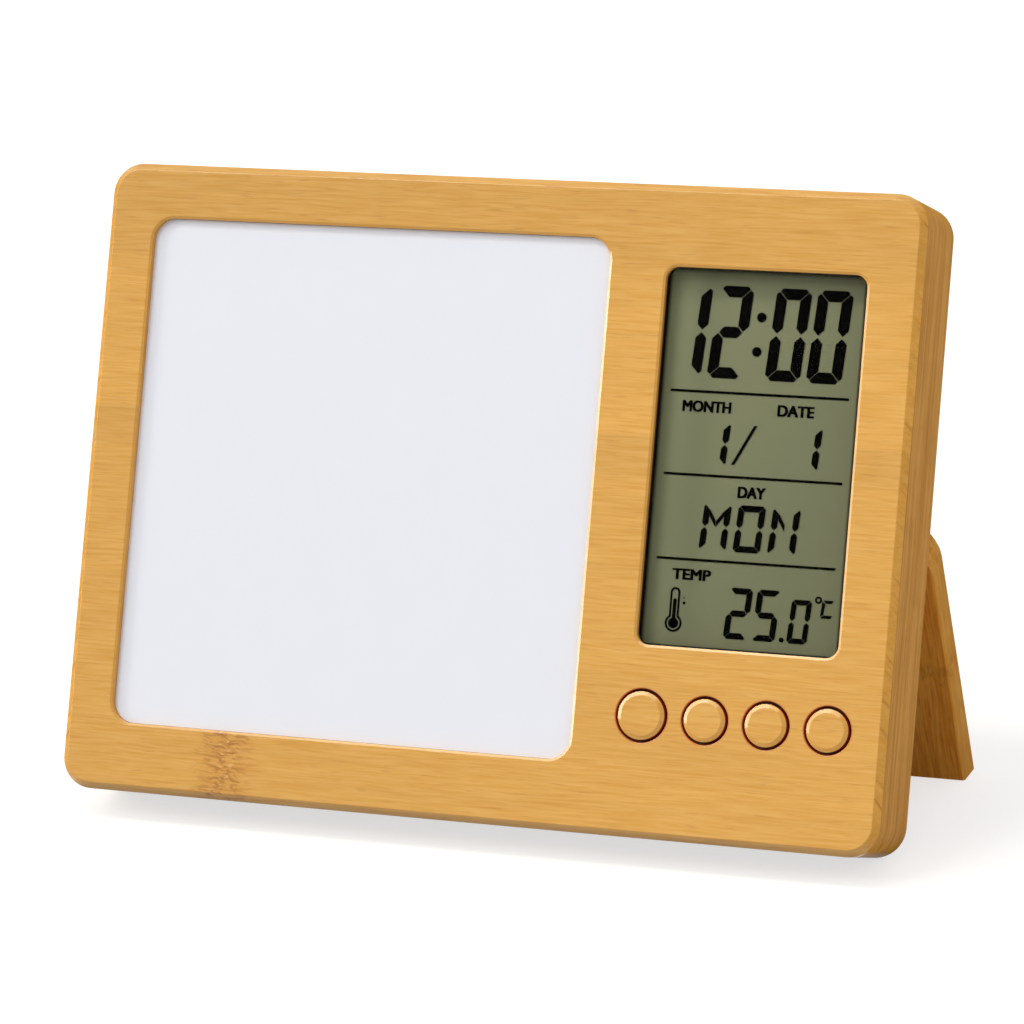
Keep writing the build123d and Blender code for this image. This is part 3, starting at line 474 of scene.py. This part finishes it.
def end_grain(shader, along, depth, side):
    """The layers and pores on the surfaces that the fibres run out of."""
    place = (side, depth, along)
    layers = shader.grade(shader.noise(shader.stretched(place, layer_lengths), detail=3.0), *layer_range)
    pores = shader.grade(shader.noise(shader.stretched(place, pore_lengths)), *pore_range)
    return shader.tint(shader.between(layers, end_tones), pores, *pore_shade)


def strips_and_painted_light(shader, along, side):
    """The tones of the strips that the face is laid up from, with painted shade at its foot and a painted sweep of
    light from left to right.
    """
    strips = shader.ramp(shader.math("DIVIDE", side, board_height), strip_tones_and_foot_shade)
    return shader.times(strips, shader.grade(along, -board_width / 2, board_width / 2, *painted_light_sweep))


def board_marks(shader, colour, cut, along, depth, side):
    """What the board alone has: browned rims, scorched holes, painted shade in the window, worn arrises and glue.
    """
    rim = shader.pulse(shader.facing(inward), cos(rim_slope), rim_slope_spread)
    colour = shader.tint(colour, rim, *rim_shade)
    colour = burnt_holes(shader, colour, along, depth, side)
    colour = window_painted_shade(shader, colour, along, depth, side)
    arris = shader.times(cut, shader.pulse(depth, arris_depth, arris_half_width))
    colour = shader.tint(colour, arris, *arris_shade)
    for glue_depth in glue_depths:
        colour = shader.tint(colour, shader.pulse(depth, glue_depth, glue_half_width), *glue_shade)
    return colour


def bevel_marks(shader, colour, facing, depth, side):
    """Torn fibres on the bevels that cross the grain: short slanting ticks, dark and light, over painted light
    that lightens the bevels.
    """
    bevel = shader.times(shader.grade(facing, *bevel_start), shader.grade(facing, *bevel_end, 1.0, 0.0))
    slant = shader.math("MULTIPLY_ADD", depth, tick_slant, side)
    ticks = shader.noise(shader.stretched((slant, depth, 0.0), tick_lengths))
    tears = shader.noise(shader.stretched((side, tear_layer, 0.0), tear_lengths))
    torn = shader.times(bevel, shader.grade(tears, *tear_range))
    # Painted light on the bevels
    colour = shader.tint(colour, bevel, *bevel_painted_light)
    for tick_range, shade in ((dark_range, dark_tick_shade), (light_range, light_tick_shade)):
        colour = shader.tint(colour, shader.times(torn, shader.grade(ticks, *tick_range)), *shade)
    return colour


def knuckle(shader, colour, place, middle, half_width, top, strength):
    """The scar of a joint in the cane, up to a height: brown dashes that fan out, pale flecks between."""
    along, depth, side = place
    wander = shader.noise(shader.stretched(place, wander_lengths))
    away = shader.math("SUBTRACT", along, middle)
    away = shader.math("ADD", away, shader.math("MULTIPLY_ADD", wander, wander_width, -wander_width / 2))
    distance = shader.math("ABSOLUTE", away)
    crumple = shader.noise(shader.stretched(place, crumple_lengths))
    crumpled = shader.math("MULTIPLY_ADD", crumple, crumple_width, side)
    fanned = (away, depth, shader.math("MULTIPLY_ADD", away, scar_fan, crumpled))
    stain = shader.grade(shader.noise(shader.stretched(fanned, stain_lengths), detail=2.0), *stain_range)
    flecks = shader.grade(shader.noise(shader.stretched(fanned, fleck_lengths), detail=1.0), *fleck_range)
    low = shader.grade(side, top, top + top_fade, strength, 0.0)
    patch = shader.times(shader.grade(distance, patch_solid, half_width, 1.0, 0.0), low)
    core = shader.times(shader.grade(distance, core_solid, half_width / 2, 1.0, 0.0), low)
    colour = shader.tint(colour, patch, *scar_shade)
    colour = shader.tint(colour, shader.times(stain, patch), *stain_shade)
    return shader.tint(colour, shader.times(flecks, core), *fleck_shade)


def burnt_holes(shader, colour, along, depth, side):
    """Scorched walls round the button caps, as a cutter leaves them, below the face and the caps' rims."""
    below = shader.grade(depth, burn_top, burn_bottom)
    for centre_u, centre_v, radius in button_circles:
        across_cap = shader.math("SUBTRACT", along, centre_u)
        up_cap = shader.math("SUBTRACT", side, centre_v)
        squares = shader.math("MULTIPLY_ADD", across_cap, across_cap, shader.times(up_cap, up_cap))
        ring = shader.math("COMPARE", shader.math("SQRT", squares), radius + button_gap / 2, button_gap)
        colour = shader.tint(colour, shader.times(ring, below), *burnt_shade)
    return colour


def window_painted_shade(shader, colour, along, depth, side):
    """The display window's walls, painted black below the rim as painted shade for the dark cavity behind them."""
    wall_shade = shader.times(shader.grade(depth, *wall_shadow_top), shader.grade(depth, *wall_shadow_bottom, 1.0, 0.0))
    for distance in insides(shader, "display_lens", along, side):
        wall_shade = shader.times(wall_shade, shader.math("GREATER_THAN", distance, wall_shadow_inset))
    return shader.tint(colour, wall_shade, *wall_shadow_shade)


def insides(shader, node, along, side):
    """How far in from a node's left, right, bottom and top edges the surface lies."""
    left, right = [distance / MM for distance in reach(node, across)]
    foot, head = [(distance - up.dot(board_origin)) / MM for distance in reach(node, up)]
    return [
        shader.math("SUBTRACT", along, left),
        shader.math("SUBTRACT", right, along),
        shader.math("SUBTRACT", side, foot),
        shader.math("SUBTRACT", head, side),
    ]


def white_panel():
    """Dry-wipe coating: smooth and cool white, with a faint mottle in its tone and gloss."""
    shader = Shader("white_panel")
    place = shader.place(board_turn, board_origin)
    mottle = shader.noise(shader.stretched(place, mottle_lengths), detail=3.0)
    return shader.set({
        "Base Color": shader.between(mottle, panel_tones),
        "Roughness": shader.math("MULTIPLY_ADD", mottle, 0.06, 0.32),
        "Specular IOR Level": 0.3,
    })


def clear(name, tint, alpha, roughness):
    """A clear sheet that light passes through, with faint handling marks in its gloss."""
    shader = Shader(name)
    place = shader.place(board_turn, board_origin)
    marks = shader.noise(shader.stretched(place, handling_lengths), detail=3.0, roughness=0.6)
    return shader.set({
        "Base Color": shader.between(marks, (tint, [value * clear_fade for value in tint])),
        "Roughness": shader.math("MULTIPLY_ADD", marks, 0.1, roughness),
        "Specular IOR Level": 0.2,
        "Alpha": alpha,
    })


def plain(name, colour, roughness, grain=0.4, relief=0.01, variation=0.12, metallic=0.0, gloss=0.5):
    """A moulded or cast surface: a fine grain in its relief, gloss and tone."""
    shader = Shader(name)
    place = shader.place(board_turn, board_origin)
    fine = shader.noise(shader.stretched(place, (grain, grain, grain)), detail=3.0, roughness=0.6)
    soft = shader.noise(shader.stretched(place, cast_lengths))
    darker = [value * (1 - variation) for value in colour]
    return shader.set({
        "Base Color": shader.between(soft, (darker, colour)),
        "Roughness": shader.math("MULTIPLY_ADD", fine, 0.16, roughness - 0.08),
        "Metallic": metallic,
        "Specular IOR Level": gloss,
        "Normal": shader.bump(fine, relief, 0.5),
    })


def brushed_steel():
    """Steel with fine marks along the board."""
    shader = Shader("steel")
    place = shader.place(board_turn, board_origin)
    marks = shader.noise(shader.stretched(place, brush_lengths), detail=3.0, roughness=0.7)
    return shader.set({
        "Base Color": shader.between(marks, steel_tones),
        "Roughness": shader.math("MULTIPLY_ADD", marks, 0.22, 0.22),
        "Metallic": 1.0,
        "Normal": shader.bump(marks, 0.006, 0.4),
    })


def pearl(name):
    """The display's grey-green ground, with a fine pearly grain, painted shadow along its edges and painted light
    and shade across it.
    """
    shader = Shader(name)
    place = shader.place(board_turn, board_origin)
    grain = shader.noise(shader.stretched(place, pearl_lengths), detail=2.0)
    cloud = shader.noise(shader.stretched(place, cloud_lengths))
    colour = shader.between(grain, ground_shades)
    distances = insides(shader, "lcd_rear_glass", place[0], place[2])
    # Painted shadow along the ground's edges, under the window's walls
    for distance, border in zip(distances, painted_edge_shadows):
        colour = shader.tint(colour, shader.grade(distance, *border, 1.0, 0.0), *edge_shadow_shade)
    tone = shader.math("MULTIPLY_ADD", cloud, *cloud_tones)
    # Painted light and shade across the ground: lighter near its left, darker near its right and bottom
    for distance, (near, far, *tones) in zip(distances, ground_painted_light):
        tone = shader.times(tone, shader.grade(distance, near, far, *tones))
    return shader.set({
        "Base Color": shader.toned(colour, tone),
        "Roughness": shader.math("MULTIPLY_ADD", grain, 0.1, 0.5),
        "Specular IOR Level": 0.2,
    })


def circuit():
    """Green solder mask over copper tracks."""
    shader = Shader("circuit_board")
    place = shader.place(board_turn, board_origin)
    tracks = shader.node("TexBrick", {
        "Vector": shader.vector(place[0], place[2], 0.0),
        "Scale": 0.22,
        "Mortar Size": 0.04,
    })
    return shader.set({
        "Base Color": shader.between(tracks.outputs["Fac"], mask_tones),
        "Roughness": shader.math("MULTIPLY_ADD", tracks.outputs["Fac"], 0.15, 0.32),
        "Normal": shader.bump(tracks.outputs["Fac"], 0.03, 0.6),
    })


def cell_sleeve(name, node, heading):
    """A printed cell: dark sleeve, a coppery band at its positive end, bare metal at both ends."""
    shader = Shader(name)
    low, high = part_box(node)
    place = shader.place(board_turn, board_origin)
    start, end = (low.x, high.x) if heading > 0 else (high.x, low.x)
    share = shader.math("DIVIDE", shader.math("SUBTRACT", place[0], start / MM), (end - start) / MM)
    scuffs = shader.noise(shader.stretched(place, scuff_lengths), detail=3.0)
    sleeve = shader.between(scuffs, sleeve_tones)
    sleeve = shader.tint(sleeve, shader.grade(share, *band_edge), *band_shade)
    ends = shader.grade(shader.facing(across), *cell_end_range)
    return shader.set({
        "Base Color": shader.tint(sleeve, ends, *cell_end_shade),
        "Roughness": shader.math("MULTIPLY_ADD", scuffs, 0.14, 0.25),
        "Metallic": ends,
    })


materials = {
    "bamboo": bamboo("bamboo", board_turn, board_origin, board_scar, board_tones, on_face=True),
    "white_panel": white_panel(),
    "tape": plain("tape", (226, 222, 210), 0.7),
    "clear_lens": clear("clear_lens", (12, 13, 12), 0.05, 0.06),
    "clear_film": clear("clear_film", (16, 17, 13), 0.05, 0.2),
    "display_glass": clear("display_glass", (12, 14, 13), 0.03, 0.08),
    "segments": plain("segments", (5, 5, 4), 0.7, grain=0.2, relief=0.002, gloss=0.0),
    "reflector": pearl("reflector"),
    "black_plastic": plain("black_plastic", (32, 32, 34), 0.5, grain=0.35, relief=0.02),
    "grey_plastic": plain("grey_plastic", (150, 151, 152), 0.5),
    "elastomer": plain("elastomer", (176, 120, 132), 0.65),
    "circuit_board": circuit(),
    "sensor": plain("sensor", (30, 28, 30), 0.35),
    "steel": brushed_steel(),
    "bright_metal": plain("bright_metal", (214, 212, 206), 0.25, relief=0.004, metallic=1.0),
}
node_materials = {
    "leg": bamboo("bamboo_leg", leg_turn, leg_origin, leg_scar, leg_tones, leg_front_bounce_tones, lacquer=0.0),
    "lcd_rear_glass": pearl("display_ground"),
    "battery_1": cell_sleeve("cell_sleeve_1", "battery_1", 1),
    "battery_2": cell_sleeve("cell_sleeve_2", "battery_2", -1),
}
plunger_brown = plain("plunger_brown", (120, 52, 30), 0.6)
for number in range(1, 5):
    node_materials[f"button_{number}_plunger"] = plunger_brown
for name, node in nodes.items():
    material = node_materials.get(name) or materials[slots[name]]
    node.data.materials.clear()
    node.data.materials.append(material)


def piece(name, mesh, body, slot):
    """A new piece that rides on a body and takes its finish from a slot."""
    made = bpy.data.objects.new(name, mesh)
    bpy.context.scene.collection.objects.link(made)
    mesh.materials.append(materials[slot])
    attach(made, body)
    return made


def pane(name, node):
    """A clear sheet without its rear face, so that light crosses it once each way."""
    form = bmesh.new()
    form.from_mesh(nodes[node].data)
    rear = [face for face in form.faces if face.normal.dot(inward) > pane_rear]
    bmesh.ops.delete(form, geom=rear, context="FACES")
    mesh = bpy.data.meshes.new(name)
    form.to_mesh(mesh)
    form.free()
    mesh.materials.clear()
    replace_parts(piece(name, mesh, "board", slots[node]), node)


def prism(form, outline, hole=None):
    """Adds a flat printed shape to a mesh form, between the two sides of the printing."""
    layers = []
    for depth in (print_depth, print_depth + print_thickness):
        loops = [[on_board(u, v, depth) for u, v in loop] for loop in (outline, hole) if loop]
        layers.append([[form.verts.new(spot) for spot in loop] for loop in loops])
    for front, back in zip(*layers):
        for index in range(len(front)):
            form.faces.new((front[index - 1], front[index], back[index], back[index - 1]))
    for loops in layers:
        if hole:
            for index in range(len(outline)):
                form.faces.new((loops[0][index - 1], loops[0][index], loops[1][index], loops[1][index - 1]))
        else:
            form.faces.new(loops[0])


def circle(centre, radius, count=32):
    turns = [2 * pi * index / count for index in range(count)]
    return [(centre[0] + radius * cos(turn), centre[1] + radius * sin(turn)) for turn in turns]


def thermometer(half_width, bulb_radius, top, count=24):
    """The outline of a tube with a round top that opens into a round bulb."""
    spread = atan2(half_width, sqrt(bulb_radius**2 - half_width**2))
    tube_top = top - half_width
    points = []
    for index in range(count + 1):
        turn = pi / 2 + spread + (2 * pi - 2 * spread) * index / count
        points.append((bulb_radius * cos(turn), bulb_height + bulb_radius * sin(turn)))
    for index in range(count + 1):
        turn = pi * index / count
        points.append((half_width * cos(turn), tube_top + half_width * sin(turn)))
    return [(thermometer_across + u, v) for u, v in points]


def finished(form, name):
    """The mesh of a form, with its faces turned outwards."""
    bmesh.ops.recalc_face_normals(form, faces=form.faces)
    mesh = bpy.data.meshes.new(name)
    form.to_mesh(mesh)
    form.free()
    return mesh


def display_signs():
    """The thermometer, the degree sign and the letter after it."""
    form = bmesh.new()
    outer, inner = [thermometer(*ring) for ring in thermometer_rings]
    prism(form, outer, inner)
    prism(form, thermometer(*mercury))
    for u, v, radius in thermometer_dots:
        prism(form, circle((u, v), radius, 16))
    prism(form, circle(degree_place, degree_radii[0]), circle(degree_place, degree_radii[1]))
    for bar in letter_c_bars:
        prism(form, bar)
    piece("display_signs", finished(form, "display_signs"), "board", "segments")


def display_word(name, text, left, right, bottom, top):
    """One printed word, fitted to its place on the display and thickened by shifted copies."""
    curve = bpy.data.curves.new(name, "FONT")
    curve.body = text
    curve.extrude = 0.5
    holder = bpy.data.objects.new(name + "_text", curve)
    letters = bpy.data.meshes.new_from_object(holder)
    bpy.data.objects.remove(holder)
    places = [vertex.co.copy() for vertex in letters.vertices]
    low, high = [[bound(place[axis] for place in places) for axis in range(3)] for bound in (min, max)]
    form = bmesh.new()
    for shift_u, shift_v in word_shifts:
        for vertex, place in zip(letters.vertices, places):
            x, y, z = [(place[axis] - low[axis]) / (high[axis] - low[axis]) for axis in range(3)]
            u = left + word_boldness + x * (right - left - 2 * word_boldness) + shift_u * word_boldness
            v = bottom + word_boldness + y * (top - bottom - 2 * word_boldness) + shift_v * word_boldness
            vertex.co = on_board(u, v, print_depth + print_thickness * (1 - z))
        form.from_mesh(letters)
    mesh = bpy.data.meshes.new(name)
    form.to_mesh(mesh)
    form.free()
    piece(name, mesh, "board", "segments")


def islands(mesh):
    """The groups of a mesh's points that are joined by edges."""
    form = bmesh.new()
    form.from_mesh(mesh)
    groups, seen = [], set()
    for start in form.verts:
        if start in seen:
            continue
        seen.add(start)
        group, reached = [], [start]
        while reached:
            vertex = reached.pop()
            group.append(vertex.co.copy())
            near = [edge.other_vert(vertex) for edge in vertex.link_edges]
            reached += [other for other in near if other not in seen]
            seen.update(near)
        groups.append(group)
    form.free()
    return groups


def screw_head_height(share, turn):
    """The height of a domed head at a share of its radius, less a cross recess, as a share of its own."""
    narrow, wide = sorted((abs(share * cos(turn)), abs(share * sin(turn))))
    arms = max(narrow / cross_width, wide / cross_length)
    recess = cross_depth * min(1, max(0, (cross_edge - arms) / cross_slope))
    return head_rim + (1 - head_rim) * sqrt(max(0, 1 - share**2)) - recess


def screw(form, points, turn_start):
    """Adds a cross-recessed screw where a plain one stands, from that one's points."""
    depths = [inward.dot(point) for point in points]
    tip, top = min(depths), max(depths)
    middle = sum(points, Vector()) / len(points)
    centre = middle - inward * inward.dot(middle)
    radii = [(point - inward * depth - centre).length for point, depth in zip(points, depths)]
    head_radius = max(radii)
    spots = list(zip(radii, depths))
    low_radii = [radius for radius, depth in spots if depth < tip + tip_reach * MM]
    shank_radius = min(radius for radius in low_radii if radius > tip_hole * MM)
    head_base = min(depth for radius, depth in spots if radius > head_share * head_radius)

    profile = [
        (shank_radius * tip_share, tip),
        (shank_radius, tip + shank_radius),
        (shank_radius, head_base),
        (head_radius, head_base),
    ]
    rings = [[spot] * head_turns for spot in profile]
    for ring in range(head_rings + 1):
        share = (1 - ring / head_rings) ** ring_crowding
        heights = [screw_head_height(share, 2 * pi * index / head_turns) for index in range(head_turns)]
        rings.append([(share * head_radius, head_base + height * (top - head_base)) for height in heights])
    loops = []
    for ring in rings:
        loop = []
        for index, (radius, depth) in enumerate(ring):
            turn = turn_start + 2 * pi * index / head_turns
            spot = centre + across * radius * cos(turn) + up * radius * sin(turn) + inward * depth
            loop.append(form.verts.new(spot))
        loops.append(loop)
    for first, second in zip(loops, loops[1:]):
        for index in range(head_turns):
            form.faces.new((first[index - 1], first[index], second[index], second[index - 1]))
    form.faces.new(loops[0])


def screws(name, node):
    """Cross-recessed screws in the place of a node's plain ones, each turned its own way."""
    form = bmesh.new()
    for number, points in enumerate(islands(nodes[node].data)):
        screw(form, points, first_turn + turn_step * number)
    bmesh.ops.remove_doubles(form, verts=form.verts, dist=weld_distance * MM)
    for face in form.faces:
        face.smooth = True
    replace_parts(piece(name, finished(form, name), "board", slots[node]), node)


screws("box_screws_crossed", "battery_box_screws")
screws("bracket_screws_crossed", "bracket_screws")
pane("lens_pane", "display_lens")
pane("polariser_pane", "front_polariser")
pane("front_glass_pane", "lcd_front_glass")
for word in words:
    display_word(*word)
display_signs()


def floor_material():
    """Pale floor that keeps its shadows and, out in the light, shows as white."""
    shader = Shader("floor")
    shader.tree.nodes.remove(shader.surface)
    rays = shader.node("LightPath").outputs
    seen = 0.0
    for ray in seeing_rays:
        seen = shader.math("MAXIMUM", seen, rays[ray])
    mottle = shader.noise(shader.node("TexCoord").outputs["Object"], detail=3.0, scale=6.0)
    tone = shader.math("MULTIPLY_ADD", mottle, 0.01, floor_tone)
    matt = shader.node("BsdfDiffuse", {"Color": shader.vector(tone, tone, tone)})
    glow = shader.node("Emission", {"Strength": shader.times(seen, floor_glow)})
    both = shader.node("AddShader", {0: matt.outputs[0], 1: glow.outputs[0]})
    shader.fill(shader.tree.nodes["Material Output"].inputs["Surface"], both.outputs[0])
    return shader.material


def stage_floor():
    form = bmesh.new()
    bmesh.ops.create_circle(form, cap_ends=True, segments=floor_segments, radius=floor_radius * MM)
    mesh = bpy.data.meshes.new("floor")
    form.to_mesh(mesh)
    form.free()
    mesh.materials.append(floor_material())
    floor = bpy.data.objects.new("floor", mesh)
    bpy.context.scene.collection.objects.link(floor)


def light_scene():
    """An even sky that the eye sees as white, a key lamp, a fill and a bent strip of small lamps."""
    world = bpy.data.worlds.new("sky")
    bpy.context.scene.world = world
    world.use_nodes = True
    tree = world.node_tree
    background = tree.nodes["Background"]
    background.inputs["Color"].default_value = (1.0, 1.0, 1.0, 1.0)
    rays = tree.nodes.new("ShaderNodeLightPath").outputs
    seen = None
    for ray in seeing_rays:
        most = tree.nodes.new("ShaderNodeMath")
        most.operation = "MAXIMUM"
        tree.links.new(rays[ray], most.inputs[0])
        if seen:
            tree.links.new(seen, most.inputs[1])
        else:
            most.inputs[1].default_value = sky_strength
        seen = most.outputs[0]
    tree.links.new(seen, background.inputs["Strength"])

    for name, heading, strength, spread in lamps:
        add_lamp(name, heading, strength, spread)
    for turn, strength in strip_lamps:
        lamp = add_lamp(f"strip_{turn}", rim_mirror(radians(turn)), strength, strip_spread)
        lamp.color = strip_colour


def add_lamp(name, heading, strength, spread):
    """A distant lamp that stands in a direction."""
    lamp = bpy.data.lights.new(name, "SUN")
    lamp.angle = spread
    lamp.energy = strength
    holder = bpy.data.objects.new(name, lamp)
    holder.rotation_euler = (-heading).to_track_quat("-Z", "Y").to_euler()
    bpy.context.scene.collection.objects.link(holder)
    return lamp


def rim_mirror(turn):
    """The direction from which a lamp shines in the rim slopes that face a turn about the board's face."""
    tilt = across * cos(turn) + up * sin(turn)
    slope = tilt * sin(rim_slope) - inward * cos(rim_slope)
    return 2 * slope.dot(view_back) * slope - view_back


def set_camera():
    """The photograph's view: its bearing, height, roll and lens."""
    right = Vector((cos(view_azimuth), sin(view_azimuth), 0))
    upright = view_back.cross(right)
    rolled_right = right * cos(view_roll) + upright * sin(view_roll)
    rolled_up = upright * cos(view_roll) - right * sin(view_roll)
    lens = bpy.data.cameras.new("camera")
    lens.lens = focal_length
    lens.sensor_width = sensor_width
    lens.clip_end = 2 * floor_radius * MM
    camera = bpy.data.objects.new("camera", lens)
    camera.matrix_world = Matrix.Translation((view_aim + view_back * view_distance) * MM) @ Matrix(
        (rolled_right, rolled_up, view_back)
    ).transposed().to_4x4()
    bpy.context.scene.collection.objects.link(camera)
    bpy.context.scene.camera = camera


stage_floor()
light_scene()
set_camera()
bpy.context.scene.view_settings.view_transform = "Standard"
